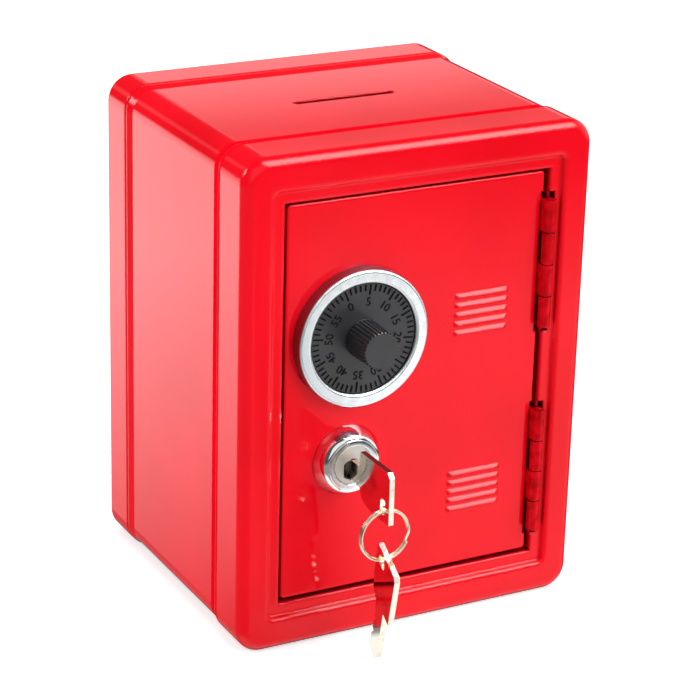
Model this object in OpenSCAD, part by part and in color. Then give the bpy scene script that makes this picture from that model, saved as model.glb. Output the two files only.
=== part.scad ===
// Toy safe coin bank in pressed steel: a front frame, a wrap and a back cover make the cabinet.
// The door turns on two knuckle hinges and carries a numbered dial and a cam lock with its keys.
// Millimetres. X is to the right, Y to the back, Z up. The origin is on the floor, on the centre
// line, at the middle of the front frame's lower flange.

/* [Cabinet] */
// Width over the front frame
width = 123; // [112:1:140]
// Height from the floor to the top
height = 165; // [155:1:185]
// Depth from the front face to the back face
depth = 106; // [85:1:130]
// Thickness of the pressed steel sheet
sheet = 0.8; // [0.6:0.05:0.9]
// Outer radius of the four long corners
corner_r = 8.5; // [6:0.5:11]
// Radius of the front frame's rolled front edge
front_edge_r = 3.5; // [2.5:0.25:4.5]
// Depth of the front frame's flange
flange_depth = 20.5; // [17:0.5:26]
// How far the wrap slides into the front frame
wrap_overlap = 10; // [6:0.5:12]
// Length of the raised shoulder at the back end of the wrap
shoulder_len = 3; // [2:0.25:5]
// Radius of the back cover's pressed edge
back_edge_r = 2; // [1.5:0.25:3]
// Depth of the back cover
cover_depth = 14.9; // [10:0.5:20]
// Length of the back cover's tongue inside the wrap
tongue_len = 7; // [5:0.5:10]
// Length of the coin slot
slot_len = 36.5; // [28:0.5:42]
// Width of the coin slot
slot_wid = 3.2; // [2.2:0.1:3.6]
// How far the coin slot lies behind the middle
slot_back = 1.5; // [0:0.5:6]

/* [Door opening] */
// Frame face left and right of the opening
side_border = 14.4; // [12.5:0.2:17]
// Frame face above and below the opening
top_border = 15.2; // [12.5:0.2:18]
// Depth of the recess round the opening
recess_depth = 1.9; // [1.7:0.1:2.2]
// Width of the recess round the opening
recess_wid = 5.3; // [4.8:0.1:6]
// Outer corner radius of the recess
recess_corner_r = 3; // [2.4:0.1:3.6]
// Depth of the lip that the lock's cam catches behind
lip_depth = 12.6; // [12:0.1:12.8]

/* [Door] */
// Gap left and right of the door
side_gap = 1.3; // [1.1:0.1:1.6]
// Gap above and below the door
end_gap = 0.9; // [0.6:0.1:1.5]
// How far the door's face lies behind the recess
door_set_back = 1; // [0.6:0.1:1.2]
// Depth of the door's folded edges
door_return = 8; // [6:0.5:9]
// Radius of the door's folded edge
door_edge_r = 1; // [0.9:0.05:1.2]
// Corner radius of the door
door_corner_r = 1.4; // [1.3:0.1:2.5]
// Length of a rib
rib_len = 18; // [12:0.5:22]
// Height that a rib stands off the door
rib_rise = 0.9; // [0.5:0.1:1.1]
// Width of a rib
rib_wid = 2; // [1.8:0.1:2.3]
// Distance from rib to rib
rib_pitch = 3.12; // [2.6:0.02:3.6]
// Number of ribs in each group
rib_count = 5; // [3:1:6]
// Centre of the ribs from the door's hinge edge
rib_from_edge = 21.7; // [18:0.1:23]
// Centre of the upper ribs above the door's lower edge
upper_rib_up = 88.2; // [80:0.2:96]
// Centre of the lower ribs above the door's lower edge
lower_rib_up = 26.4; // [18:0.2:34]

/* [Hinges] */
// Length of a hinge
hinge_len = 43; // [34:1:48]
// Outer radius of the hinge barrel
barrel_r = 2.1; // [2:0.05:2.3]
// Thickness of a hinge leaf
leaf_thick = 1; // [0.8:0.05:1.05]
// Width of the leaf on the door
leaf_wid = 10; // [7:0.5:12]
// Radius of a hinge pin
pin_r = 1.05; // [0.9:0.05:1.05]
// Gap between neighbouring knuckles
knuckle_gap = 0.35; // [0.3:0.05:0.6]
// Notch left open at each end of a hinge
notch_end = 2.4; // [1.5:0.1:3.5]
// Centre of the upper hinge above the floor
upper_hinge_up = 118; // [112:0.5:122]
// Centre of the lower hinge above the floor
lower_hinge_up = 45.7; // [42:0.5:50]

/* [Dial] */
// Centre of the dial from the door's free edge
dial_from_edge = 25.6; // [24:0.1:28]
// Centre of the dial above the door's lower edge
dial_up = 87; // [84:0.2:94]
// Outer radius of the chromed ring
ring_r = 22.7; // [20.5:0.1:23.4]
// Width of the ring's face
ring_face = 4.3; // [3.4:0.1:5]
// Height of the ring
ring_rise = 4.5; // [4:0.1:6]
// How far the dial lies behind the ring's face
dial_sink = 1; // [0.6:0.1:1.4]
// Radius of the knob at its foot
knob_r = 6.3; // [5.4:0.1:8]
// Length of the knob
knob_len = 12; // [8:0.5:15]
// Number of flutes round the knob
flute_count = 30; // [18:2:36]
// Radius of the dial's shaft
shaft_r = 3; // [2.5:0.1:3.5]
// Number of marks round the dial
mark_count = 60; // [36:12:60]

/* [Lock] */
// Centre of the lock from the door's free edge
lock_from_edge = 22.5; // [20:0.1:26]
// Centre of the lock above the door's lower edge
lock_up = 45.1; // [42:0.2:49]
// Radius of the lock's collar where it meets the door
collar_r = 11.9; // [10.8:0.1:12.6]
// Radius of the lock's face
face_r = 8.4; // [8:0.1:9.4]
// Height of the lock's collar
collar_rise = 5.3; // [4.5:0.1:6.5]
// Radius of the threaded barrel behind the door
lock_barrel_r = 8; // [7.6:0.1:8.6]
// Radius of the turning plug's face
plug_r = 6.5; // [6.3:0.05:6.7]
// Across flats of the lock nut
nut_flats = 20; // [18.5:0.5:22]
// Thickness of the lock nut
nut_thick = 3; // [2:0.25:4]
// Length of the cam from the lock's centre
cam_len = 30; // [27:0.5:31]
// Thickness of the cam
cam_thick = 1.6; // [1.2:0.1:2.2]
// Width of the cam's arm
cam_wid = 9; // [7:0.5:11]

/* [Keys] */
// Thickness of a key
key_thick = 1.8; // [1.4:0.1:1.9]
// Length of the key's bow
bow_len = 19.3; // [18.5:0.1:22]
// Width of the key's bow
bow_wid = 17.4; // [16:0.2:19]
// Length of the key's blade
blade_len = 20.3; // [17:0.1:22.5]
// Width of the key's blade
blade_wid = 7; // [6:0.2:7.6]
// Length of blade left showing in front of the lock
blade_out = 6.2; // [6:0.1:8]
// Drop of the keyway below the plug's centre
keyway_drop = 1.5; // [0.8:0.1:1.6]
// Width of the hole in the bow
bow_hole_wid = 3.6; // [3.2:0.1:4.2]
// Length of the hole in the bow
bow_hole_len = 5.4; // [4.8:0.1:6]
// Middle radius of the split ring
split_ring_r = 8.35; // [7:0.05:9]
// Radial thickness of the split ring's wire
wire_rad = 1; // [0.8:0.05:1.1]
// Thickness of one turn of the split ring
wire_thick = 0.92; // [0.7:0.02:1]
// Angle at which the spare key hangs from upright, in degrees
spare_tilt = 16; // [12:1:24]
// Angle by which the spare key is turned about its length, in degrees
spare_turn = 10; // [0:1:12]

/* [Hidden] */

$fn = 64;
// Radial running gap of a shaft, and of a pin in its knuckles
running_gap = 0.08;
// Gap between pieces that move past each other face to face
face_gap = 0.3;
// Length added to a cutting tool so that it runs past what it cuts
past = 1;
red = "#e3121f";
chrome = "#d9dde2";
zinc = "#b9b9b3";
black_plastic = "#3b3b40";
nickel = "#cfc9ba";

// Depths are measured from the front face, so each piece is placed at front_y plus its depth
front_y = -flange_depth / 2;
opening_w = width - 2 * side_border;
opening_h = height - 2 * top_border;
recess_w = opening_w + 2 * recess_wid;
recess_h = opening_h + 2 * recess_wid;
// The recess steps back in two bends: a rounded edge, and a hollow at its foot
recess_hollow_r = 0.6;
recess_round_r = recess_depth - recess_hollow_r;
door_w = opening_w - 2 * side_gap;
door_h = opening_h - 2 * end_gap;
door_face = recess_depth + door_set_back;
door_left = -door_w / 2;
door_right = door_w / 2;
door_bottom = top_border + end_gap;
door_back = door_face + sheet;

// Wrap and back cover
wrap_inset = sheet;
cover_front = depth - cover_depth;
cover_bend = 2 * sheet;
shoulder_end = cover_front - cover_bend + 0.2;
shoulder_crest = 0.6;
shoulder_inset = 0.05;
flange_taper_len = 2;
flange_taper = 0.6 * sheet;

// Hinges
lip_x = opening_w / 2;
hinge_x = lip_x + sheet + leaf_thick - barrel_r;
hinge_depth = 0.8;
knuckle_count = 4;
knuckle_len = (hinge_len - (knuckle_count - 1) * knuckle_gap) / knuckle_count;
notch_gap = 0.2;
leaf_clear = barrel_r + face_gap;
pin_end = 0.35;

// Dial
dial_x = door_left + dial_from_edge;
dial_z = door_bottom + dial_up;
ring_sheet = 0.8;
ring_edge_r = 0.9;
ring_inner_r = ring_r - ring_face;
dial_r = ring_inner_r - face_gap;
dial_front = ring_rise - dial_sink;
dial_thick = 2.4;
tab_wid = 3.2;
tab_count = 3;
tab_gap = 0.15;
washer_thick = 0.6;
push_nut_thick = 0.5;
shaft_end = 3.2;

// Lock
lock_x = door_left + lock_from_edge;
lock_z = door_bottom + lock_up;
plug_head_len = 1.7;
plug_step = 0.5;
plug_body_r = plug_r - plug_step;
plug_sink = 0.3;
plug_wall = 2.2;
cam_clear = 0.2;
bow_start = collar_rise - plug_sink + blade_out;
keyway_spare = 0.5;
keyway_end = blade_len - bow_start + keyway_spare;
barrel_end = max(lip_depth + recess_depth - door_face + cam_clear, keyway_end + plug_wall);
cam_front = barrel_end + face_gap;
stud_wid = 6.6;
stud_gap = 0.05;
screw_r = 1.7;
screw_head_r = 3.2;
screw_head_len = 1.8;
screw_len = 2.8;
keyway_gap = 0.15;

// Keys
key_z = lock_z - keyway_drop;
bow_hole_s = 15.5;
bow_hole_drop = 3.8;
wire_drop = 0.4;
bow_hole_run = bow_hole_len - bow_hole_wid;
ring_depth = door_face - bow_start - bow_hole_s;
wire_top_z = key_z - bow_hole_drop - bow_hole_run / 2 - wire_drop;
ring_z = wire_top_z - split_ring_r;
wire_low_z = ring_z - split_ring_r;
wafer_count = 4;
wafer_thick = 0.8;
wafer_pitch = 2.2;
wafer_wid = 4.4;
wafer_gap = 0.1;
wafer_start = 2.6;

// A rectangle with rounded corners, centred
module rounded_rect(w, h, r) {
    square([w - 2 * r, h], center = true);
    square([w, h - 2 * r], center = true);
    for (sx = [-1, 1], sy = [-1, 1])
        translate([sx * (w / 2 - r), sy * (h / 2 - r)])
            circle(r);
}

// A bar with round ends, along X, centred
module slot_2d(len, wid) {
    square([len - wid, wid], center = true);
    for (s = [-1, 1])
        translate([s * (len - wid) / 2, 0])
            circle(wid / 2);
}

// A quarter of a ring in the corner where x is positive and y is negative
module quarter_bend(inner_r, outer_r) {
    difference() {
        intersection() {
            circle(outer_r);
            translate([0, -outer_r])
                square(outer_r);
        }
        circle(inner_r);
    }
}

// Carries a sheet section round a rounded rectangle: x runs inward from the edge, y runs back
module swept_round(w, h, r) {
    for (turn = [0, 180]) {
        rotate(turn)
            translate([w / 2, 0, 0])
                rotate([90, 0, 0])
                    linear_extrude(h - 2 * r, center = true)
                        mirror([1, 0])
                            children();
        rotate(turn + 90)
            translate([h / 2, 0, 0])
                rotate([90, 0, 0])
                    linear_extrude(w - 2 * r, center = true)
                        mirror([1, 0])
                            children();
    }
    corners = [[1, 1, 0], [-1, 1, 90], [-1, -1, 180], [1, -1, 270]];
    for (c = corners)
        translate([c[0] * (w / 2 - r), c[1] * (h / 2 - r), 0])
            rotate(c[2])
                rotate_extrude(angle = 90)
                    translate([r, 0])
                        mirror([1, 0])
                            children();
}

// Puts a shape that is drawn face on, with its depth along z, into the cabinet
module into_cabinet(d = 0) {
    translate([0, front_y + d, height / 2])
        rotate([-90, 0, 0])
            children();
}

// Puts a shape on the door's face, with z pointing out towards the user
module on_door(x, z) {
    translate([x, front_y + door_face, z])
        rotate([90, 0, 0])
            children();
}

// The two bends with which a sheet steps back: x runs along the face, y runs back
module step_section(round_r, hollow_r) {
    translate([0, round_r])
        quarter_bend(round_r - sheet, round_r);
    translate([round_r + hollow_r, round_r])
        rotate(180)
            quarter_bend(hollow_r, hollow_r + sheet);
}

// Opens the space that one hinge needs in the frame or the door
module hinge_notch(up, x_from, x_to, depth_to) {
    translate([x_from, front_y - past, up - hinge_len / 2 - notch_end])
        cube([x_to - x_from, depth_to + past, hinge_len + 2 * notch_end]);
}

module front_frame() {
    flange_in = sheet;
    color(red)
        difference() {
            union() {
                into_cabinet() {
                    swept_round(width, height, corner_r) {
                        union() {
                            polygon([[0, front_edge_r], [0, flange_depth - flange_taper_len],
                                [flange_taper, flange_depth], [flange_in, flange_depth],
                                [flange_in, front_edge_r]]);
                            translate([front_edge_r, front_edge_r])
                                mirror([1, 0])
                                    quarter_bend(front_edge_r - sheet, front_edge_r);
                        }
                    }
                    linear_extrude(sheet)
                        difference() {
                            rounded_rect(width - 2 * front_edge_r, height - 2 * front_edge_r,
                                corner_r - front_edge_r);
                            rounded_rect(recess_w, recess_h, recess_corner_r);
                        }
                    swept_round(recess_w, recess_h, recess_corner_r)
                        step_section(recess_round_r, recess_hollow_r);
                    translate([0, 0, recess_depth])
                        linear_extrude(sheet)
                            difference() {
                                rounded_rect(recess_w - 2 * recess_depth, recess_h - 2 * recess_depth,
                                    recess_corner_r - recess_depth);
                                square([opening_w, opening_h], center = true);
                            }
                    translate([0, 0, recess_depth])
                        linear_extrude(lip_depth)
                            difference() {
                                square([opening_w + 2 * sheet, opening_h + 2 * sheet], center = true);
                                square([opening_w, opening_h], center = true);
                            }
                }
            }
            for (up = [upper_hinge_up, lower_hinge_up])
                hinge_notch(up, lip_x - past, hinge_x + barrel_r + notch_gap,
                    hinge_depth + leaf_clear);
        }
}

module body_wrap() {
    wrap_front = flange_depth - wrap_overlap;
    flare_end = shoulder_end - shoulder_crest;
    flare_start = flare_end - shoulder_len;
    inner = wrap_inset + sheet;
    crest_in = shoulder_inset + sheet;
    color(red)
        difference() {
            into_cabinet()
                swept_round(width, height, corner_r)
                    polygon([[wrap_inset, wrap_front], [wrap_inset, flare_start],
                        [shoulder_inset, flare_end], [shoulder_inset, shoulder_end],
                        [crest_in, shoulder_end], [crest_in, flare_end],
                        [inner, flare_start], [inner, wrap_front]]);
            translate([0, front_y + depth / 2 + slot_back, height - wrap_inset - sheet - past])
                linear_extrude(sheet + 2 * past)
                    slot_2d(slot_len, slot_wid);
        }
}

module back_cover() {
    tongue_in = cover_bend;
    color(red)
        into_cabinet() {
            swept_round(width, height, corner_r) {
                union() {
                    translate([0, cover_front])
                        square([sheet, cover_depth - back_edge_r]);
                    translate([back_edge_r, depth - back_edge_r])
                        rotate(180)
                            quarter_bend(back_edge_r - sheet, back_edge_r);
                    translate([0, cover_front])
                        mirror([0, 1])
                            cover_step();
                    translate([tongue_in, cover_front - cover_bend - tongue_len])
                        square([sheet, tongue_len]);
                }
            }
            translate([0, 0, depth - sheet])
                linear_extrude(sheet)
                    rounded_rect(width - 2 * back_edge_r, height - 2 * back_edge_r,
                        corner_r - back_edge_r);
        }
}

// The step from the cover's wall down to its tongue: x runs inward, y runs to the front
module cover_step() {
    round_r = 1.5 * sheet;
    hollow_r = cover_bend - round_r;
    translate([round_r, 0])
        mirror([1, 0])
            mirror([0, 1])
                quarter_bend(round_r - sheet, round_r);
    translate([round_r, cover_bend])
        quarter_bend(hollow_r, hollow_r + sheet);
}

// Places a copy of a shape at each rib
module at_ribs() {
    for (up = [upper_rib_up, lower_rib_up], i = [0 : rib_count - 1])
        on_door(door_right - rib_from_edge, door_bottom + up + (i - (rib_count - 1) / 2) * rib_pitch)
            children();
}

// A rib pressed out of the sheet: its face slopes out to a lip near its lower edge, and its ends slope too
module rib_form(len) {
    root = 0.3;
    end_slope = 1.4;
    intersection() {
        rotate([90, 0, 90])
            linear_extrude(len + 2 * end_slope, center = true)
                polygon([[0.51 * rib_wid, -root], [0.51 * rib_wid, 0], [0.25 * rib_wid, 0.5 * rib_rise],
                    [-0.08 * rib_wid, 0.94 * rib_rise], [-0.16 * rib_wid, rib_rise],
                    [-0.26 * rib_wid, 0.94 * rib_rise], [-0.43 * rib_wid, 0.35 * rib_rise],
                    [-0.49 * rib_wid, 0], [-0.49 * rib_wid, -root]]);
        rotate([90, 0, 0])
            linear_extrude(2 * rib_wid, center = true)
                polygon([[-len / 2 - 0.6 * end_slope, -root], [-len / 2 - 0.6 * end_slope, 0],
                    [-len / 2 + 0.4 * end_slope, 1.05 * rib_rise], [len / 2 - 0.4 * end_slope, 1.05 * rib_rise],
                    [len / 2 + 0.6 * end_slope, 0], [len / 2 + 0.6 * end_slope, -root]]);
    }
}

module door_panel() {
    color(red)
        difference() {
            union() {
                into_cabinet(door_face) {
                    swept_round(door_w, door_h, door_corner_r) {
                        union() {
                            translate([0, door_edge_r])
                                square([sheet, door_return - door_edge_r]);
                            translate([door_edge_r, door_edge_r])
                                mirror([1, 0])
                                    quarter_bend(door_edge_r - sheet, door_edge_r);
                        }
                    }
                    linear_extrude(sheet)
                        rounded_rect(door_w - 2 * door_edge_r, door_h - 2 * door_edge_r,
                            door_corner_r - door_edge_r);
                }
                at_ribs()
                    rib_form(rib_len);
            }
            at_ribs()
                translate([0, 0, -sheet])
                    rib_form(rib_len - 2 * sheet);
            on_door(dial_x, dial_z) {
                cylinder(r = shaft_r + running_gap, h = 2 * door_return, center = true);
                for (i = [0 : tab_count - 1])
                    rotate(i * 360 / tab_count + 90)
                        translate([ring_r - ring_sheet / 2, 0, 0])
                            cube([ring_sheet + 2 * tab_gap, tab_wid + 2 * tab_gap, 2 * door_return],
                                center = true);
            }
            on_door(lock_x, lock_z)
                cylinder(r = lock_barrel_r + running_gap, h = 2 * door_return, center = true);
            for (up = [upper_hinge_up, lower_hinge_up])
                hinge_notch(up, hinge_x - barrel_r - notch_gap, door_right + past,
                    door_back + leaf_thick + notch_gap);
        }
}

// The knuckles that belong to one leaf, counted from the top of the hinge
module knuckles(first, centre_z) {
    for (i = [first : 2 : knuckle_count - 1])
        translate([0, 0, centre_z + hinge_len / 2 - knuckle_len - i * (knuckle_len + knuckle_gap)])
            children();
}

// A rolled knuckle on the hinge's axis
module knuckle() {
    cylinder(r = barrel_r, h = knuckle_len);
}

// Bores a hinge's knuckles for its pin
module pin_bore(up) {
    translate([hinge_x, front_y + hinge_depth, up - hinge_len / 2 - past])
        cylinder(r = pin_r + running_gap, h = hinge_len + 2 * past);
}

module frame_leaf(up) {
    leaf_x = barrel_r - leaf_thick;
    plate_to = recess_depth + lip_depth - hinge_depth;
    color(red)
        difference() {
            translate([hinge_x, front_y + hinge_depth, 0]) {
                knuckles(1, up) {
                    knuckle();
                    translate([leaf_x, 0, 0])
                        cube([leaf_thick, leaf_clear + past, knuckle_len]);
                }
                translate([leaf_x, leaf_clear, up - hinge_len / 2])
                    cube([leaf_thick, plate_to - leaf_clear, hinge_len]);
            }
            pin_bore(up);
        }
}

module door_leaf(up) {
    plate_depth = door_back - hinge_depth;
    color(red)
        difference() {
            translate([hinge_x, front_y + hinge_depth, 0]) {
                knuckles(0, up) {
                    knuckle();
                    translate([-barrel_r, 0, 0])
                        cube([leaf_thick, plate_depth + leaf_thick, knuckle_len]);
                }
                translate([-barrel_r - leaf_wid + leaf_thick, plate_depth, up - hinge_len / 2])
                    cube([leaf_wid, leaf_thick, hinge_len]);
            }
            pin_bore(up);
        }
}

module hinge_pin(up) {
    color(red)
        translate([hinge_x, front_y + hinge_depth, up - hinge_len / 2 - pin_end])
            cylinder(r = pin_r, h = hinge_len + 2 * pin_end);
}

module upper_hinge_frame_leaf() {
    frame_leaf(upper_hinge_up);
}

module lower_hinge_frame_leaf() {
    frame_leaf(lower_hinge_up);
}

module upper_hinge_door_leaf() {
    door_leaf(upper_hinge_up);
}

module lower_hinge_door_leaf() {
    door_leaf(lower_hinge_up);
}

module upper_hinge_pin() {
    hinge_pin(upper_hinge_up);
}

module lower_hinge_pin() {
    hinge_pin(lower_hinge_up);
}

// The chromed ring is pressed from sheet: outer wall, rolled face and inner wall, held by bent tabs
module dial_ring() {
    tab_bend = 2.4;
    color(chrome)
        on_door(dial_x, dial_z) {
            rotate_extrude() {
                translate([ring_r - ring_sheet, 0])
                    square([ring_sheet, ring_rise - ring_edge_r]);
                translate([ring_inner_r + ring_edge_r, ring_rise - ring_sheet])
                    square([ring_face - 2 * ring_edge_r, ring_sheet]);
                translate([ring_r - ring_edge_r, ring_rise - ring_edge_r])
                    mirror([0, 1])
                        quarter_bend(ring_edge_r - ring_sheet, ring_edge_r);
                translate([ring_inner_r + ring_edge_r, ring_rise - ring_edge_r])
                    rotate(180)
                        quarter_bend(ring_edge_r - ring_sheet, ring_edge_r);
                translate([ring_inner_r, 1])
                    square([ring_sheet, ring_rise - ring_edge_r - 1]);
            }
            for (i = [0 : tab_count - 1])
                rotate(i * 360 / tab_count + 90) {
                    translate([ring_r - ring_sheet, -tab_wid / 2, -sheet - ring_sheet])
                        cube([ring_sheet, tab_wid, sheet + ring_sheet + 0.5]);
                    translate([ring_r - ring_sheet - tab_bend, -tab_wid / 2, -sheet - ring_sheet])
                        cube([tab_bend + ring_sheet / 2, tab_wid, ring_sheet]);
                }
        }
}

// One of the raised marks round the dial
module dial_mark(len) {
    mark_rise = 0.2;
    mark_wid = 0.5;
    edge = 0.3;
    translate([dial_r - edge - len, -mark_wid / 2, dial_front - mark_rise])
        cube([len, mark_wid, 2 * mark_rise]);
}

// Dial, fluted knob and shaft are one moulding; the knob tapers, and its flutes lean in with it
module dial() {
    knob_draft = 0.25;
    knob_round = 0.25;
    flute_r = 0.5;
    flute_foot = 0.3;
    hub_r = 5;
    knob_root = dial_front - dial_thick / 2;
    knob_top = dial_front + knob_len;
    lean = atan(knob_draft / knob_len);
    number_step = mark_count / 12;
    long_mark = 3.4;
    short_mark = 2.1;
    dial_turn = 7;
    color(black_plastic)
        on_door(dial_x, dial_z) {
            difference() {
                union() {
                    translate([0, 0, dial_front - dial_thick])
                        cylinder(r = dial_r, h = dial_thick);
                    translate([0, 0, face_gap])
                        cylinder(r = hub_r, h = knob_root - face_gap);
                    translate([0, 0, knob_root])
                        cylinder(r = knob_r, h = dial_front + flute_foot - knob_root);
                    translate([0, 0, dial_front + flute_foot])
                        cylinder(r1 = knob_r, r2 = knob_r - knob_draft, h = knob_len - flute_foot - knob_round);
                    translate([0, 0, knob_top - knob_round])
                        cylinder(r1 = knob_r - knob_draft, r2 = knob_r - knob_draft - knob_round,
                            h = knob_round);
                }
                for (i = [0 : flute_count - 1])
                    rotate(i * 360 / flute_count)
                        translate([knob_r, 0, dial_front + flute_foot])
                            rotate([0, -lean, 0])
                                cylinder(r = flute_r, h = knob_len + past);
            }
            translate([0, 0, -sheet - washer_thick - face_gap - push_nut_thick - shaft_end])
                cylinder(r = shaft_r, h = sheet + washer_thick + 2 * face_gap + push_nut_thick + shaft_end + 1);
            for (i = [0 : mark_count - 1])
                rotate(i * 360 / mark_count - dial_turn)
                    dial_mark(i % number_step == 0 ? long_mark : short_mark);
        }
}

module dial_washer() {
    color(zinc)
        on_door(dial_x, dial_z)
            translate([0, 0, -sheet - washer_thick])
                difference() {
                    cylinder(r = shaft_r + 3, h = washer_thick);
                    translate([0, 0, -past])
                        cylinder(r = shaft_r + running_gap, h = washer_thick + 2 * past);
                }
}

// A toothed nut pushed onto the shaft keeps the dial in the door
module dial_push_nut() {
    teeth = 6;
    nut_r = shaft_r + 2.6;
    color(zinc)
        on_door(dial_x, dial_z)
            translate([0, 0, -sheet - washer_thick - face_gap - push_nut_thick])
                difference() {
                    cylinder(r = nut_r, h = push_nut_thick);
                    translate([0, 0, -past])
                        cylinder(r = shaft_r, h = push_nut_thick + 2 * past);
                    for (i = [0 : teeth - 1])
                        rotate(i * 360 / teeth)
                            translate([shaft_r + 0.4, 0, -past])
                                cylinder(r = 0.7, h = push_nut_thick + 2 * past, $fn = 16);
                }
}

// Domed collar in front of the door, barrel behind it
module lock_housing() {
    shell_r = 14;
    rim_h = 0.4;
    color(chrome)
        on_door(lock_x, lock_z)
            difference() {
                union() {
                    cylinder(r = collar_r, h = rim_h);
                    translate([0, 0, rim_h])
                        cylinder(r1 = collar_r, r2 = face_r, h = collar_rise - rim_h);
                    intersection() {
                        cylinder(r = collar_r, h = collar_rise);
                        translate([0, 0, rim_h - (shell_r - collar_r)])
                            scale(1)
                                sphere(shell_r);
                        cylinder(r1 = collar_r + 0.7, r2 = face_r + 0.1, h = collar_rise);
                    }
                    translate([0, 0, -barrel_end])
                        cylinder(r = lock_barrel_r, h = barrel_end + rim_h);
                }
                translate([0, 0, collar_rise - plug_sink - plug_head_len])
                    cylinder(r = plug_r + running_gap, h = plug_head_len + past);
                translate([0, 0, -barrel_end - past])
                    cylinder(r = plug_body_r + running_gap, h = barrel_end + collar_rise);
            }
}

// The turning plug: head, body cut for the keyway and the wafers, square stud and screw hole
module lock_plug() {
    face_z = collar_rise - plug_sink;
    slot_w = key_thick + 2 * keyway_gap;
    slot_h = blade_wid + 2 * keyway_gap;
    funnel = 4;
    funnel_wid = 5;
    funnel_tall = 6.5;
    funnel_left = 0.8;
    color(zinc)
        on_door(lock_x, lock_z)
            difference() {
                union() {
                    translate([0, 0, face_z - plug_head_len + running_gap])
                        cylinder(r = plug_r, h = plug_head_len - running_gap);
                    translate([0, 0, -cam_front])
                        cylinder(r = plug_body_r, h = cam_front + face_z - running_gap);
                    translate([-stud_wid / 2, -stud_wid / 2, -cam_front - cam_thick + stud_gap])
                        cube([stud_wid, stud_wid, cam_thick + past]);
                }
                translate([-slot_w / 2, -keyway_drop - slot_h / 2, -keyway_end])
                    cube([slot_w, slot_h, keyway_end + face_z + past]);
                translate([-funnel_left, -keyway_drop, face_z - funnel])
                    intersection() {
                        cylinder(r = funnel_tall / 2, h = funnel + past);
                        translate([0, 0, funnel])
                            cube([funnel_wid, funnel_tall + past, 4 * funnel], center = true);
                    }
                translate([0, 0, -cam_front - cam_thick - past])
                    cylinder(r = screw_r + running_gap, h = cam_thick + screw_len + past - face_gap);
                at_wafers()
                    cube([wafer_wid + 2 * wafer_gap, 3 * plug_r, wafer_thick + 2 * wafer_gap],
                        center = true);
            }
}

// Places a copy of a shape at each wafer, along the blade
module at_wafers() {
    first = -keyway_end + wafer_start;
    for (i = [0 : wafer_count - 1])
        translate([0, 0, first + i * wafer_pitch])
            children();
}

// Flat wafers, each with a window that the blade passes through
module lock_wafers() {
    window_w = key_thick + 2 * keyway_gap + 0.2;
    window_h = blade_wid + 2 * keyway_gap + 0.2;
    color("#b08d4a")
        on_door(lock_x, lock_z)
            at_wafers()
                difference() {
                    intersection() {
                        cube([wafer_wid, 3 * plug_r, wafer_thick], center = true);
                        cylinder(r = plug_body_r - wafer_gap, h = 2 * wafer_thick, center = true);
                    }
                    translate([0, -keyway_drop, 0])
                        cube([window_w, window_h, 2 * wafer_thick], center = true);
                }
}

module lock_washer() {
    color(zinc)
        on_door(lock_x, lock_z)
            translate([0, 0, -sheet - sheet])
                difference() {
                    cylinder(r = lock_barrel_r + 3, h = sheet);
                    translate([0, 0, -past])
                        cylinder(r = lock_barrel_r + running_gap, h = sheet + 2 * past);
                }
}

module lock_nut() {
    color(zinc)
        on_door(lock_x, lock_z)
            translate([0, 0, -2 * sheet - nut_thick])
                difference() {
                    cylinder(r = nut_flats / sqrt(3), h = nut_thick, $fn = 6);
                    translate([0, 0, -past])
                        cylinder(r = lock_barrel_r + running_gap, h = nut_thick + 2 * past);
                }
}

// The cam hangs down when unlocked; a quarter turn carries its arm behind the frame's lip
module lock_cam() {
    hub_r = 7;
    color(zinc)
        on_door(lock_x, lock_z)
            translate([0, 0, -cam_front - cam_thick])
                linear_extrude(cam_thick)
                    difference() {
                        union() {
                            circle(hub_r);
                            translate([-cam_wid / 2, -cam_len + cam_wid / 2])
                                square([cam_wid, cam_len - cam_wid / 2]);
                            translate([0, -cam_len + cam_wid / 2])
                                circle(cam_wid / 2);
                        }
                        square(stud_wid + 2 * stud_gap, center = true);
                    }
}

module cam_screw() {
    cross_wid = 0.9;
    cross_len = 3.6;
    color(zinc)
        on_door(lock_x, lock_z)
            translate([0, 0, -cam_front - cam_thick])
                difference() {
                    union() {
                        cylinder(r = screw_r, h = screw_len);
                        translate([0, 0, -screw_head_len])
                            cylinder(r1 = screw_head_r - 0.6, r2 = screw_head_r, h = screw_head_len);
                    }
                    for (turn = [0, 90])
                        rotate(turn)
                            translate([-cross_len / 2, -cross_wid / 2, -screw_head_len - past])
                                cube([cross_len, cross_wid, past + 0.9]);
                }
}

// Outline of a key: x runs from the bow's inner edge to its end, y across, the blade lies below zero
module key_outline() {
    half = bow_wid / 2;
    half_blade = blade_wid / 2;
    end_chamfer = 1.6;
    tip = 1.8;
    cuts = [[4.5, 0.9], [7, 1.7], [9.5, 0.6], [12, 1.3]];
    cut_wid = 1.5;
    difference() {
        polygon([[0, half_blade], [0, half], [bow_len - end_chamfer, half], [bow_len, half - end_chamfer],
            [bow_len, -half], [7.5, -half], [2.2, -half + 1.4], [0, -half_blade - 1], [0, -half_blade],
            [-blade_len + tip, -half_blade], [-blade_len, -half_blade + tip],
            [-blade_len, half_blade - tip], [-blade_len + tip, half_blade]]);
        translate([bow_hole_s, -bow_hole_drop])
            rotate(90)
                slot_2d(bow_hole_len, bow_hole_wid);
        for (c = cuts)
            translate([-c[0], -half_blade])
                rotate(180)
                    polygon([[-cut_wid, past], [cut_wid * 1.6, past], [cut_wid / 2, -c[1]],
                        [-cut_wid / 4, -c[1]]]);
    }
}

module key() {
    color(nickel)
        translate([lock_x, front_y + door_face - bow_start, key_z])
            rotate([90, 0, -90])
                linear_extrude(key_thick, center = true)
                    key_outline();
}

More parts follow.
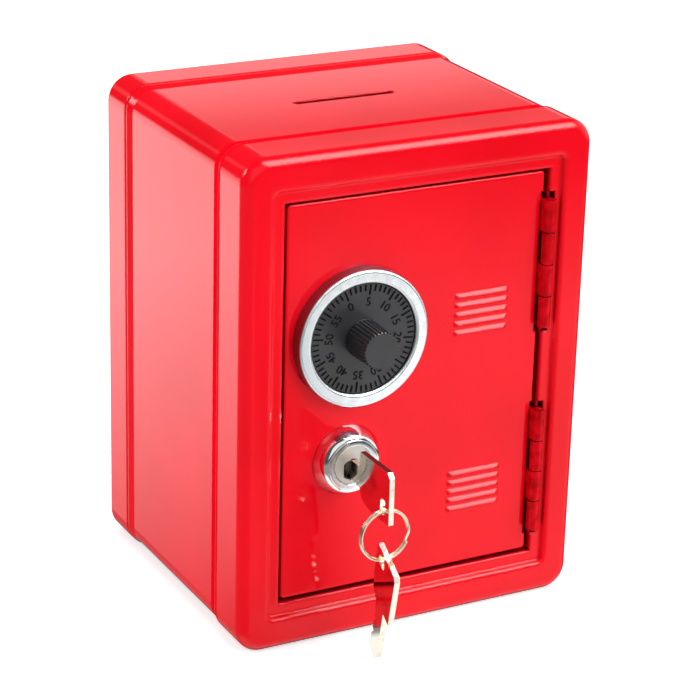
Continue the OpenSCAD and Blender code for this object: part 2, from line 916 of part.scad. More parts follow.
// The spare key is turned over, and its hole's upper edge hangs over the split ring
module spare_key() {
    hang_s = bow_hole_s + wire_drop * cos(spare_tilt);
    hang_drop = bow_hole_drop + bow_hole_run / 2 + wire_drop * sin(spare_tilt);
    color(nickel)
        translate([lock_x, front_y + ring_depth, wire_low_z])
            rotate([90, 0, 90 - spare_turn])
                rotate(90 + spare_tilt)
                    translate([-hang_s, hang_drop, 0])
                        linear_extrude(key_thick, center = true)
                            key_outline();
}

// Two turns of flat wire side by side, with one slanted crossing where the turn changes over
module split_ring() {
    turn_gap = 0.06;
    crossing = 28;
    inner_r = split_ring_r - wire_rad / 2;
    width_all = 2 * wire_thick + turn_gap;
    arc_half = split_ring_r * sin(crossing / 2);
    color(chrome)
        translate([lock_x, front_y + ring_depth, ring_z])
            rotate([90, 0, 0])
                rotate(-crossing / 2 - 10) {
                    for (s = [-1, 1])
                        rotate(crossing)
                            translate([0, 0, s * (wire_thick + turn_gap) / 2])
                                rotate_extrude(angle = 360 - crossing)
                                    translate([inner_r, -wire_thick / 2])
                                        square([wire_rad, wire_thick]);
                    intersection() {
                        rotate_extrude(angle = crossing)
                            translate([inner_r, -width_all / 2])
                                square([wire_rad, width_all]);
                        rotate(crossing / 2)
                            rotate([0, 90, 0])
                                linear_extrude(2 * split_ring_r)
                                    polygon([
                                        [-width_all / 2, -arc_half - past],
                                        [-width_all / 2 + wire_thick, -arc_half - past],
                                        [-width_all / 2 + wire_thick, -arc_half],
                                        [width_all / 2, arc_half],
                                        [width_all / 2, arc_half + past],
                                        [width_all / 2 - wire_thick, arc_half + past],
                                        [width_all / 2 - wire_thick, arc_half],
                                        [-width_all / 2, -arc_half]]);
                    }
                }
}

front_frame();
body_wrap();
back_cover();
door_panel();
upper_hinge_frame_leaf();
upper_hinge_door_leaf();
upper_hinge_pin();
lower_hinge_frame_leaf();
lower_hinge_door_leaf();
lower_hinge_pin();
dial_ring();
dial();
dial_washer();
dial_push_nut();
lock_housing();
lock_plug();
lock_wafers();
lock_washer();
lock_nut();
lock_cam();
cam_screw();
key();
split_ring();
spare_key();
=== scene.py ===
"""Toy safe coin bank: enamelled sheet steel cabinet and door, moulded dial, cam lock and its keys."""

import math

import bmesh
import bpy
from bpy.props import FloatProperty, FloatVectorProperty, IntProperty, PointerProperty
from mathutils import Matrix, Vector


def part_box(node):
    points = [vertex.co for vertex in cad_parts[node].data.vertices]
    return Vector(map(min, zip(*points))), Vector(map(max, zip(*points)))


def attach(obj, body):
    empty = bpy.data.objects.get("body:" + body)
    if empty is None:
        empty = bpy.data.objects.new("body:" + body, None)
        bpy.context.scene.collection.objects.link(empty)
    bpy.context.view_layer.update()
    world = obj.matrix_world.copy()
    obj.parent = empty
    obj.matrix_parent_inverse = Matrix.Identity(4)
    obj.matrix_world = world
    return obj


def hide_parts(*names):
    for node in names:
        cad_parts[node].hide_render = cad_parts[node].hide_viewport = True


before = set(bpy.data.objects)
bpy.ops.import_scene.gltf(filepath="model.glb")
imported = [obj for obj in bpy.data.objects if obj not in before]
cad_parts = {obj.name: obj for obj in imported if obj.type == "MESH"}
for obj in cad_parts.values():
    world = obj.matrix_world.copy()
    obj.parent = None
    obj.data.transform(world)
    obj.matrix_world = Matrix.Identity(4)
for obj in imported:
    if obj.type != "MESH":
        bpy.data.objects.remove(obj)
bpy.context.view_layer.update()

bl_info = {
    "name": "Toy Safe Bank",
    "version": (1, 0, 0),
    "blender": (4, 5, 0),
    "location": "3D View > Sidebar > Toy Safe",
    "description": "Finishes the packed model of a toy safe coin bank and sets it on a studio floor",
    "category": "Object",
}

MM = 0.001
WHITE = (1.0, 1.0, 1.0, 1.0)
# Depth of the dial behind the front of its ring
DIAL_SINK = 0.001
# Radius outside which the dial's marks begin, clear of the knob
MARKS_FROM = 0.0100
# Place of the number 0 in degrees clockwise from the top
FIRST_NUMBER_TURN = -23
# Font size for numbers of height 1
FONT_SIZE = 1.4
# Ends of the two seam bands, in millimetres back from the frame's rear edge
GROOVE_BAND = (-0.6, -0.2, 2.6, 3.0)
ROLL_BAND = (-3.4, -3.1, -2.0, -1.7)
# Width of the broad patches in the enamel, in millimetres
PATCH_MM = 38.0
# Red of the shade painted into seams, gaps and corners
SHADE_RED = "#6b0008"
# How far off other metal still casts the shade painted into a plated corner or a keyway
SHADE_REACH = 0.004
# Points of the lock housing closer together than this count as one ring
SLACK = 0.0001
# Edges that turn by more degrees than this stay sharp
SHARP_TURN = 32
# Half the floor's width, and its drop below the bank's underside
FLOOR_HALF = 6.0
FLOOR_DROP = 0.00002
# Where the camera fitted to the photo stands
CAMERA_PLACE = (-0.3782, -0.6663, 0.39076)


# Colours and nodes


def from_hex(code):
    """Linear colour of an sRGB hex value such as #c8102e."""
    code = code.lstrip("#")
    channels = [int(code[i : i + 2], 16) / 255 for i in (0, 2, 4)]
    linear = [c / 12.92 if c <= 0.04045 else ((c + 0.055) / 1.055) ** 2.4 for c in channels]
    return (*linear, 1.0)


def add(tree, kind, inputs=(), stops=(), **settings):
    """Adds a shader node; its inputs, by name or in order, take a link or a plain value, and stops are a ramp's."""
    node = tree.nodes.new("ShaderNode" + kind)
    for name, value in settings.items():
        setattr(node, name, value)
    for i, (position, colour) in enumerate(stops):
        node.color_ramp.elements[i].position = position
        node.color_ramp.elements[i].color = colour
    for name, value in inputs.items() if isinstance(inputs, dict) else enumerate(inputs):
        if isinstance(value, bpy.types.NodeSocket):
            tree.links.new(value, node.inputs[name])
        else:
            node.inputs[name].default_value = value
    return node


def start_material(name):
    """An empty material, its nodes and the object's own coordinates in metres."""
    material = bpy.data.materials.new(name)
    material.use_nodes = True
    tree = material.node_tree
    tree.nodes.clear()
    return material, tree, add(tree, "TexCoord").outputs["Object"]


def lump_scale(size_mm):
    """Scale of a noise whose lumps measure about that many millimetres."""
    return 1.0 / (size_mm * MM)


def band(tree, source, ends):
    """Rises from 0 to 1 between the first two values and falls back between the last two."""
    rise = add(tree, "MapRange", [source, ends[0], ends[1], 0.0, 1.0]).outputs[0]
    fall = add(tree, "MapRange", [source, ends[2], ends[3], 1.0, 0.0]).outputs[0]
    return add(tree, "Math", [rise, fall], operation="MULTIPLY").outputs[0]


def panel(tree, ways, strength, **spans):
    """A bright panel in the room, between soft ends along each named axis of the direction."""
    light = None
    for axis, ends in spans.items():
        part = band(tree, ways.outputs[axis], ends)
        if light is not None:
            part = add(tree, "Math", [light, part], operation="MULTIPLY").outputs[0]
        light = part
    return add(tree, "MapRange", [light, 0.0, 1.0, 0.0, strength]).outputs[0]


def radius_about(tree, place, centre):
    """Distance from the axis along Y through a centre."""
    offset = add(tree, "VectorMath", [place, (centre.x, 0.0, centre.z)], operation="SUBTRACT").outputs["Vector"]
    flat = add(tree, "VectorMath", [offset, (1.0, 0.0, 1.0)], operation="MULTIPLY").outputs["Vector"]
    return add(tree, "VectorMath", [flat], operation="LENGTH").outputs["Value"]


# Materials


def red_stoving_enamel(name, sizes, colour, deep, patch_mm, shade_reach_mm, round_mm, gloss=1.0, joint=None):
    """Stoving enamel, sprayed on pressed steel and baked: a level gloss coat with faint orange peel."""
    material, tree, place = start_material(name)
    # Broad patches a little darker than the rest
    patches = add(tree, "TexNoise", {"Vector": place, "Scale": lump_scale(patch_mm), "Detail": 1.0})
    stops = ((0.3, from_hex(deep)), (0.62, (*colour, 1.0)))
    sprayed = add(tree, "ValToRGB", [patches.outputs["Fac"]], stops)
    # Painted shade: seams, gaps and corners beside other parts are darkened toward a deep red, where shade falls
    reach = add(tree, "AmbientOcclusion", {"Distance": shade_reach_mm * MM}, samples=8)
    seam_shade = add(tree, "MapRange", [reach.outputs["AO"], 0.3, 0.62, 1.0, 0.0])
    mixed = {"Factor": seam_shade.outputs[0], "A": sprayed.outputs["Color"], "B": from_hex(SHADE_RED)}
    shade = add(tree, "Mix", mixed, data_type="RGBA")
    # Orange peel: shallow lumps about a millimetre and a half across
    rounded = add(tree, "Bevel", {"Radius": round_mm * MM}, samples=6)
    peel = add(tree, "TexNoise", {"Vector": place, "Scale": lump_scale(sizes.peel_width * 1000), "Detail": 1.0})
    lumps = {
        "Height": peel.outputs["Fac"],
        "Normal": rounded.outputs["Normal"],
        "Strength": 0.5,
        "Distance": 0.004 * MM,
    }
    skin = add(tree, "Bump", lumps).outputs["Normal"]
    if joint is not None:
        # The solids are flush here: two bands without gloss stand in for the rolled groove of the real seam
        back = add(tree, "SeparateXYZ", [place]).outputs["Y"]
        bands = [band(tree, back, [joint + end * MM for end in ends]) for ends in (GROOVE_BAND, ROLL_BAND)]
        dull = add(tree, "Math", bands, operation="MAXIMUM").outputs[0]
        gloss = add(tree, "MapRange", [dull, 0.0, 1.0, gloss, 0.0]).outputs[0]
    # The gloss is a little duller in places
    wear = add(tree, "TexNoise", {"Vector": place, "Scale": lump_scale(14.0), "Detail": 4.0})
    shader = {
        "Base Color": shade.outputs["Result"],
        "Roughness": add(tree, "MapRange", [wear.outputs["Fac"], 0.35, 0.7, 0.3, 0.4]).outputs[0],
        "Normal": skin,
        "Coat Normal": skin,
        "Specular IOR Level": 0.0,
        "Coat Weight": gloss,
        "Coat Roughness": 0.06,
        "Coat IOR": 1.32,
    }
    add(tree, "OutputMaterial", {"Surface": add(tree, "BsdfPrincipled", shader).outputs[0]})
    return material


def bright_plate(name, tint, face, side, corner=None, wall=None, node=None):
    """Bright chromium or nickel plate on polished metal: a clear mirror with a faint tint and light wipe marks."""
    material, tree, place = start_material(name)
    wipe = add(tree, "TexNoise", {"Vector": place, "Scale": lump_scale(3.0), "Detail": 5.0, "Roughness": 0.6})
    smear = add(tree, "MapRange", [wipe.outputs["Fac"], 0.4, 0.75, 0.0, 0.07]).outputs[0]
    # The front and the sides each have their own gloss, matched to the photo
    facing = add(tree, "SeparateXYZ", [add(tree, "TexCoord").outputs["Normal"]]).outputs["Y"]
    polish = add(tree, "MapRange", [facing, -0.998, -0.97, face, side]).outputs[0]
    colour = from_hex(tint)
    if corner is not None:
        # Painted shade: the corner by the door is darker, where shade falls
        reach = add(tree, "AmbientOcclusion", {"Distance": SHADE_REACH}, samples=8).outputs["AO"]
        stops = ((0.35, from_hex(corner)), (0.75, from_hex(tint)))
        colour = add(tree, "ValToRGB", [reach], stops).outputs["Color"]
    if wall is not None:
        # Painted shade and a painted reflection: the outer wall is tinted darker and mauve, like the shaded red door it
        # mirrors, matched to the photo
        low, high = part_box(node)
        rim = (high.x - low.x) / 2
        radius = radius_about(tree, place, middle(node))
        outer = add(tree, "MapRange", [radius, rim - 0.6 * MM, rim - 0.3 * MM, 0.0, 1.0]).outputs[0]
        turned = add(tree, "MapRange", [facing, -0.9, -0.5, 0.0, 1.0]).outputs[0]
        dull = add(tree, "Math", [outer, turned], operation="MULTIPLY").outputs[0]
        mixed = {"Factor": dull, "A": colour, "B": from_hex(wall)}
        colour = add(tree, "Mix", mixed, data_type="RGBA").outputs["Result"]
    shader = {
        "Base Color": colour,
        "Roughness": add(tree, "Math", [smear, polish], operation="ADD").outputs[0],
        "Normal": add(tree, "Bevel", {"Radius": 0.25 * MM}, samples=6).outputs["Normal"],
        "Metallic": 1.0,
    }
    add(tree, "OutputMaterial", {"Surface": add(tree, "BsdfPrincipled", shader).outputs[0]})
    return material


def nickel_plate(name, tint, patch, rough, upward_brown=None, keyway_shade=None):
    """Nickel plate on blanked brass or steel: warm grey, tumbled bright, with fine scratches from use."""
    material, tree, place = start_material(name)
    tone = add(tree, "TexNoise", {"Vector": place, "Scale": lump_scale(7.0), "Detail": 3.0, "Roughness": 0.5})
    stops = ((0.3, from_hex(patch)), (0.5, from_hex(tint)))
    colour = add(tree, "ValToRGB", [tone.outputs["Fac"]], stops).outputs["Color"]
    if upward_brown is not None:
        # The upper edges are browner, matched to the photo
        upward = add(tree, "SeparateXYZ", [add(tree, "TexCoord").outputs["Normal"]]).outputs["Z"]
        turned_up = add(tree, "MapRange", [upward, 0.45, 0.8, 0.0, 1.0]).outputs[0]
        mixed = {"Factor": turned_up, "A": colour, "B": from_hex(upward_brown)}
        colour = add(tree, "Mix", mixed, data_type="RGBA").outputs["Result"]
    if keyway_shade is not None:
        # Painted shade: the keyway is dark, where shade falls in it
        reach = add(tree, "AmbientOcclusion", {"Distance": SHADE_REACH}, samples=8).outputs["AO"]
        in_shade = add(tree, "MapRange", [reach, 0.2, 0.42, 1.0, 0.0]).outputs[0]
        mixed = {"Factor": in_shade, "A": colour, "B": from_hex(keyway_shade)}
        colour = add(tree, "Mix", mixed, data_type="RGBA").outputs["Result"]
    # Scratches run every way, drawn half a millimetre apart so that they show
    turned = {"Vector": place, "Scale": (1.0, 0.18, 1.0), "Rotation": (0.6, 0.0, 0.0)}
    grain = add(tree, "Mapping", turned).outputs["Vector"]
    lines = {"Vector": grain, "Scale": lump_scale(0.5), "Detail": 3.0, "Roughness": 0.6}
    scratch = add(tree, "TexNoise", lines).outputs["Fac"]
    rounded = add(tree, "Bevel", {"Radius": 0.2 * MM}, samples=6).outputs["Normal"]
    cut = {"Height": scratch, "Normal": rounded, "Strength": 0.3, "Distance": 0.002 * MM}
    shader = {
        "Base Color": colour,
        "Roughness": add(tree, "MapRange", [scratch, 0.35, 0.7, rough, rough + 0.1]).outputs[0],
        "Normal": add(tree, "Bump", cut).outputs["Normal"],
        "Metallic": 1.0,
    }
    add(tree, "OutputMaterial", {"Surface": add(tree, "BsdfPrincipled", shader).outputs[0]})
    return material


def zinc_plate():
    """Bright zinc plate on stamped steel: grey with a faint blue and yellow bloom."""
    material, tree, place = start_material("zinc_plated_steel")
    bloom = add(tree, "TexNoise", {"Vector": place, "Scale": lump_scale(6.0), "Detail": 4.0, "Roughness": 0.6})
    stops = ((0.35, from_hex("#a7a698")), (0.65, from_hex("#bcc0c4")))
    grain = add(tree, "TexNoise", {"Vector": place, "Scale": lump_scale(0.4), "Detail": 2.0}).outputs["Fac"]
    shader = {
        "Base Color": add(tree, "ValToRGB", [bloom.outputs["Fac"]], stops).outputs["Color"],
        "Roughness": add(tree, "MapRange", [grain, 0.0, 1.0, 0.28, 0.45]).outputs[0],
        "Normal": add(tree, "Bump", {"Height": grain, "Strength": 0.3, "Distance": 0.01 * MM}).outputs["Normal"],
        "Metallic": 1.0,
    }
    add(tree, "OutputMaterial", {"Surface": add(tree, "BsdfPrincipled", shader).outputs[0]})
    return material


def brass_wafer():
    """Stamped brass strip, dark brown and a little dull."""
    material, tree, place = start_material("stamped_brass")
    tone = add(tree, "TexNoise", {"Vector": place, "Scale": lump_scale(2.0), "Detail": 4.0})
    stops = ((0.3, from_hex("#3a2a15")), (0.7, from_hex("#6b5227")))
    colour = add(tree, "ValToRGB", [tone.outputs["Fac"]], stops).outputs["Color"]
    shader = add(tree, "BsdfPrincipled", {"Base Color": colour, "Metallic": 1.0, "Roughness": 0.35})
    add(tree, "OutputMaterial", {"Surface": shader.outputs[0]})
    return material


def moulded_dial_plastic(colours, centre, face_y):
    """Injection moulded polystyrene in black with a satin gloss; the raised marks are stamped in matt black."""
    material, tree, place = start_material("moulded_black_polystyrene")
    satin = {"Vector": place, "Scale": lump_scale(0.4), "Detail": 3.0, "Roughness": 0.6}
    grain = add(tree, "TexNoise", satin).outputs["Fac"]
    mottle = add(tree, "TexNoise", {"Vector": place, "Scale": lump_scale(5.0), "Detail": 4.0})
    stops = ((0.3, from_hex("#1d1d20")), (0.7, (*colours.dial, 1.0)))
    body = add(tree, "ValToRGB", [mottle.outputs["Fac"]], stops).outputs["Color"]
    # The marks stand a fifth of a millimetre above the disc, outside the knob
    depth = add(tree, "SeparateXYZ", [place]).outputs["Y"]
    radius = radius_about(tree, place, centre)
    outside = add(tree, "MapRange", [radius, MARKS_FROM, MARKS_FROM + 0.1 * MM, 0.0, 1.0]).outputs[0]
    above = add(tree, "MapRange", [depth, face_y - 0.12 * MM, face_y - 0.06 * MM, 1.0, 0.0]).outputs[0]
    mark = add(tree, "Math", [outside, above], operation="MULTIPLY").outputs[0]
    inked = add(tree, "Mix", {"Factor": mark, "A": body, "B": from_hex("#030304")}, data_type="RGBA")
    shader = {
        "Base Color": inked.outputs["Result"],
        "Roughness": add(tree, "MapRange", [grain, 0.0, 1.0, 0.32, 0.44]).outputs[0],
        "Specular IOR Level": add(tree, "MapRange", [mark, 0.0, 1.0, 0.85, 0.1]).outputs[0],
        "Normal": add(tree, "Bump", {"Height": grain, "Strength": 0.5, "Distance": 0.004 * MM}).outputs["Normal"],
        "IOR": 1.59,
    }
    add(tree, "OutputMaterial", {"Surface": add(tree, "BsdfPrincipled", shader).outputs[0]})
    return material


def inked_marks():
    """Black hot-stamped foil on the dial's marks and numbers."""
    material, tree, place = start_material("black_stamped_foil")
    worn = add(tree, "TexNoise", {"Vector": place, "Scale": lump_scale(0.5), "Detail": 3.0})
    stops = ((0.4, from_hex("#0c0c0e")), (0.8, from_hex("#1c1c20")))
    shader = {
        "Base Color": add(tree, "ValToRGB", [worn.outputs["Fac"]], stops).outputs["Color"],
        "Roughness": 0.5,
        "IOR": 1.5,
        "Specular IOR Level": 0.15,
    }
    add(tree, "OutputMaterial", {"Surface": add(tree, "BsdfPrincipled", shader).outputs[0]})
    return material


def studio_floor():
    """A pale seamless floor, seen as white, on which the bank's shadow falls."""
    material, tree, place = start_material("pale_studio_floor")
    matte = add(tree, "BsdfDiffuse", {"Color": from_hex("#f4f4f4")}).outputs[0]
    # Far from the lamps it needs more glow to stay pale up to the horizon
    away = add(tree, "VectorMath", [place], operation="LENGTH").outputs["Value"]
    rise = add(tree, "MapRange", [away, 0.8, 2.2, 0.55, 1.0]).outputs[0]
    glow = add(tree, "Emission", {"Color": WHITE, "Strength": rise}).outputs[0]
    both = add(tree, "AddShader", [matte, glow]).outputs[0]
    path = add(tree, "LightPath")
    seen = add(tree, "MixShader", [path.outputs["Is Camera Ray"], matte, both]).outputs[0]
    # Gloss sees of the floor only a bright patch under the spare key, and past it the room's own panels
    axes = add(tree, "SeparateXYZ", [place])
    near_x = band(tree, axes.outputs["X"], (-0.05, -0.04, -0.01, -0.002))
    near_y = band(tree, axes.outputs["Y"], (-0.04, -0.032, -0.014, -0.01))
    near = add(tree, "Math", [near_x, near_y], operation="MULTIPLY").outputs[0]
    clear = add(tree, "BsdfTransparent").outputs[0]
    bright = add(tree, "Emission", {"Color": WHITE, "Strength": 1.1}).outputs[0]
    patch = add(tree, "MixShader", [near, clear, bright]).outputs[0]
    surface = add(tree, "MixShader", [path.outputs["Is Glossy Ray"], seen, patch]).outputs[0]
    add(tree, "OutputMaterial", {"Surface": surface})
    return material


# Settings


class ToySafeSizes(bpy.types.PropertyGroup):
    """Sizes that the finishing pieces take."""

    peel_width: FloatProperty(
        name="Orange Peel", description="Width of the lumps in the enamel", default=0.0016, unit="LENGTH"
    )
    digit_height: FloatProperty(
        name="Digit Height", description="Height of the numbers on the dial", default=0.0028, unit="LENGTH"
    )
    digit_radius: FloatProperty(
        name="Digit Radius", description="Distance of the numbers from the dial's centre", default=0.0120, unit="LENGTH"
    )
    digit_rise: FloatProperty(
        name="Digit Rise", description="Height of the numbers above the dial", default=0.00018, unit="LENGTH"
    )
    dome_lean: FloatProperty(
        name="Dome Lean", description="Inward lean of the lock collar's side", default=0.0024, unit="LENGTH"
    )
    dome_drop: FloatProperty(
        name="Dome Drop", description="Depth of the collar's shoulder below its face", default=0.00025, unit="LENGTH"
    )
    dome_steps: IntProperty(name="Dome Steps", description="Steps along the collar's dome", default=12)
    collar_rim: FloatProperty(
        name="Collar Rim", description="Height of the collar's upright rim", default=0.0003, unit="LENGTH"
    )
    broken_edge: FloatProperty(
        name="Broken Edge", description="Size of the collar's broken edges", default=0.0002, unit="LENGTH"
    )
    wire_gap: FloatProperty(
        name="Wire Gap", description="Gap between the split ring's turns", default=0.00006, unit="LENGTH"
    )
    digit_count: IntProperty(name="Numbers", description="Numbers round the dial", default=12)
    digit_step: IntProperty(name="Number Step", description="Difference between neighbouring numbers", default=5)


class ToySafeColours(bpy.types.PropertyGroup):
    """Colours that a user would change."""

    enamel: FloatVectorProperty(
        name="Enamel", description="Colour of the enamel", subtype="COLOR", size=3, default=from_hex("#f6091f")[:3]
    )
    dial: FloatVectorProperty(
        name="Dial",
        description="Colour of the dial's plastic",
        subtype="COLOR",
        size=3,
        default=from_hex("#242428")[:3],
    )
    backdrop: FloatVectorProperty(
        name="Backdrop", description="Colour behind the bank", subtype="COLOR", size=3, default=(1.0, 1.0, 1.0)
    )


# Helpers


def dress(material, *names):
    """Gives CAD nodes one material."""
    for name in names:
        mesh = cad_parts[name].data
        mesh.materials.clear()
        mesh.materials.append(material)


def middle(name):
    """Centre of a CAD node's box."""
    low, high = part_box(name)
    return (Vector(low) + Vector(high)) / 2


def lathe_points(name, centre):
    """Radius from an axis along Y, and depth, of each point of a CAD node."""
    points = (vertex.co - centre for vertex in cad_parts[name].data.vertices)
    return [(math.hypot(point.x, point.z), point.y + centre.y) for point in points]


def closed_mesh(name, form):
    """A smooth mesh with sharp edges kept and its faces turned outward."""
    bmesh.ops.recalc_face_normals(form, faces=form.faces)
    mesh = bpy.data.meshes.new(name)
    form.to_mesh(mesh)
    form.free()
    mesh.shade_smooth()
    mesh.set_sharp_from_angle(angle=math.radians(SHARP_TURN))
    return mesh


def new_piece(name, mesh, material, body):
    """Adds a mesh as a piece that rides on a CAD body."""
    piece = bpy.data.objects.new(name, mesh)
    bpy.context.scene.collection.objects.link(piece)
    mesh.materials.clear()
    mesh.materials.append(material)
    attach(piece, body)
    return piece


# Operators


class TOYSAFE_OT_cabinet(bpy.types.Operator):
    """Enamel the front frame, wrap, back cover, door and hinges"""

    bl_idname = "toysafe.cabinet"
    bl_label = "Cabinet and Door"

    def execute(self, context):
        scene = context.scene
        sizes, colour = scene.toy_safe_sizes, scene.toy_safe_colours.enamel
        deep = "#ea071a"
        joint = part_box("front_frame")[1][1]
        # The third number of each coat is how far its painted shade reaches into seams and corners, in millimetres
        coats = (
            ("enamel_on_frame", "front_frame", 3.0, 1.3, joint),
            ("enamel_on_body", "body_wrap", 6.0, 0.9, joint),
            ("enamel_on_cover", "back_cover", 6.0, 0.9, None),
            ("enamel_on_door", "door_panel", 3.0, 0.7, None),
        )
        for name, node, shade_reach_mm, round_mm, seam in coats:
            dress(red_stoving_enamel(name, sizes, colour, deep, PATCH_MM, shade_reach_mm, round_mm, joint=seam), node)
        # Painted shade: the hinges' red is darker, where the frame's recess shades them, and their coat is less glossy,
        # matched to the photo
        shaded_red = [0.75 * c for c in colour]
        coat = {"patch_mm": 3.0, "shade_reach_mm": 3.0, "round_mm": 0.4, "gloss": 0.4}
        shaded_hinge_enamel = red_stoving_enamel("shaded_enamel_on_hinges", sizes, shaded_red, "#b0030d", **coat)
        for hinge in ("upper", "lower"):
            dress(shaded_hinge_enamel, f"{hinge}_hinge_frame_leaf", f"{hinge}_hinge_door_leaf", f"{hinge}_hinge_pin")
        return {"FINISHED"}


class TOYSAFE_OT_dial(bpy.types.Operator):
    """Finish the dial ring, the dial and its fixings"""

    bl_idname = "toysafe.dial"
    bl_label = "Dial"

    def execute(self, context):
        # The ring's dark corner and its mauve outer wall are painted shade, with a painted reflection of the red door
        # on the wall
        walls = {"corner": "#3a3035", "wall": "#a08c9a", "node": "dial_ring"}
        chrome = bright_plate("polished_chrome_ring", "#f2f8fa", face=0.1, side=0.4, **walls)
        dress(chrome, "dial_ring")
        face_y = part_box("dial_ring")[0][1] + DIAL_SINK
        colours = context.scene.toy_safe_colours
        dress(moulded_dial_plastic(colours, middle("dial_ring"), face_y), "dial")
        dress(zinc_plate(), "dial_washer", "dial_push_nut")
        return {"FINISHED"}


class TOYSAFE_OT_numbers(bpy.types.Operator):
    """Raise the numbers round the dial"""

    bl_idname = "toysafe.numbers"
    bl_label = "Dial Numbers"

    def execute(self, context):
        sizes = context.scene.toy_safe_sizes
        ink = inked_marks()
        centre = middle("dial_ring")
        face_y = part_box("dial_ring")[0][1] + DIAL_SINK
        for i in range(sizes.digit_count):
            text = bpy.data.curves.new(f"number_{i}", "FONT")
            text.body = str(i * sizes.digit_step)
            text.size = sizes.digit_height * FONT_SIZE
            text.align_x = "CENTER"
            text.align_y = "CENTER"
            text.extrude = sizes.digit_rise
            text.resolution_u = 3
            maker = bpy.data.objects.new(f"number_maker_{i}", text)
            context.scene.collection.objects.link(maker)
            depsgraph = context.evaluated_depsgraph_get()
            mesh = bpy.data.meshes.new_from_object(maker.evaluated_get(depsgraph))
            bpy.data.objects.remove(maker)
            turn = math.radians(i * 360 / sizes.digit_count + FIRST_NUMBER_TURN)
            stand = (
                Matrix.Translation((centre.x, face_y, centre.z))
                @ Matrix.Rotation(turn, 4, "Y")
                @ Matrix.Translation((0, 0, sizes.digit_radius))
                @ Matrix.Rotation(math.radians(90), 4, "X")
            )
            mesh.transform(stand)
            new_piece(f"dial_number_{i:02d}", mesh, ink, "dial_turned")
        return {"FINISHED"}


class TOYSAFE_OT_lock(bpy.types.Operator):
    """Finish the lock's collar, plug, wafers, cam and fixings"""

    bl_idname = "toysafe.lock"
    bl_label = "Lock"

    def execute(self, context):
        self.collar(context.scene.toy_safe_sizes)
        # The plug's dark keyway colour is painted shade
        dress(nickel_plate("satin_nickel_plug", "#ece9e2", "#d4cec4", rough=0.45, keyway_shade="#1c130c"), "lock_plug")
        dress(brass_wafer(), "lock_wafers")
        dress(zinc_plate(), "lock_washer", "lock_nut", "lock_cam", "cam_screw")
        return {"FINISHED"}

    def collar(self, sizes):
        """The housing, turned with a domed collar and broken edges."""
        centre = middle("lock_housing")
        points = lathe_points("lock_housing", centre)
        collar_r = max(radius for radius, depth in points)
        face_y = min(depth for radius, depth in points)
        back_y = max(depth for radius, depth in points)
        door_y = max(depth for radius, depth in points if radius > collar_r - SLACK)
        rim = [radius for radius, depth in points if depth < face_y + SLACK]
        tail = [radius for radius, depth in points if depth > back_y - SLACK]
        face_r, bore_r = max(rim), min(rim)
        step_y = max(depth for radius, depth in points if abs(radius - bore_r) < SLACK)
        edge = sizes.broken_edge
        start = Vector((collar_r, door_y - sizes.collar_rim))
        end = Vector((face_r, face_y + edge))
        bend = Vector((collar_r - sizes.dome_lean, face_y + sizes.dome_drop))
        # Share of the collar's side that is straight before it rounds over
        straight = 0.78
        turn_in = start + (bend - start) * straight
        dome = [start]
        for i in range(sizes.dome_steps + 1):
            share = i / sizes.dome_steps
            dome.append(turn_in * (1 - share) ** 2 + bend * 2 * share * (1 - share) + end * share**2)
        profile = [
            (max(tail), back_y),
            (max(tail), door_y),
            (collar_r, door_y),
            *[tuple(point) for point in dome],
            (face_r - edge * 0.3, face_y + edge * 0.3),
            (face_r - edge, face_y),
            (bore_r + edge, face_y),
            (bore_r, face_y + edge),
            (bore_r, step_y),
            (min(tail), step_y),
            (min(tail), back_y),
        ]
        steps = 144
        form = bmesh.new()
        rows = []
        for i in range(steps):
            turn = 2 * math.pi * i / steps
            across, up = math.cos(turn), math.sin(turn)
            rows.append([form.verts.new((centre.x + r * across, y, centre.z + r * up)) for r, y in profile])
        for i, row in enumerate(rows):
            after = rows[(i + 1) % steps]
            for j in range(len(profile)):
                k = (j + 1) % len(profile)
                form.faces.new((row[j], row[k], after[k], after[j]))
        mesh = closed_mesh("lock_collar", form)
        # The collar's dark corner colour is painted shade where it meets the door
        metal = bright_plate("bright_chrome_collar", "#f2f5f6", face=0.22, side=0.04, corner="#352b30")
        piece = new_piece("lock_collar", mesh, metal, "door")
        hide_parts("lock_housing")


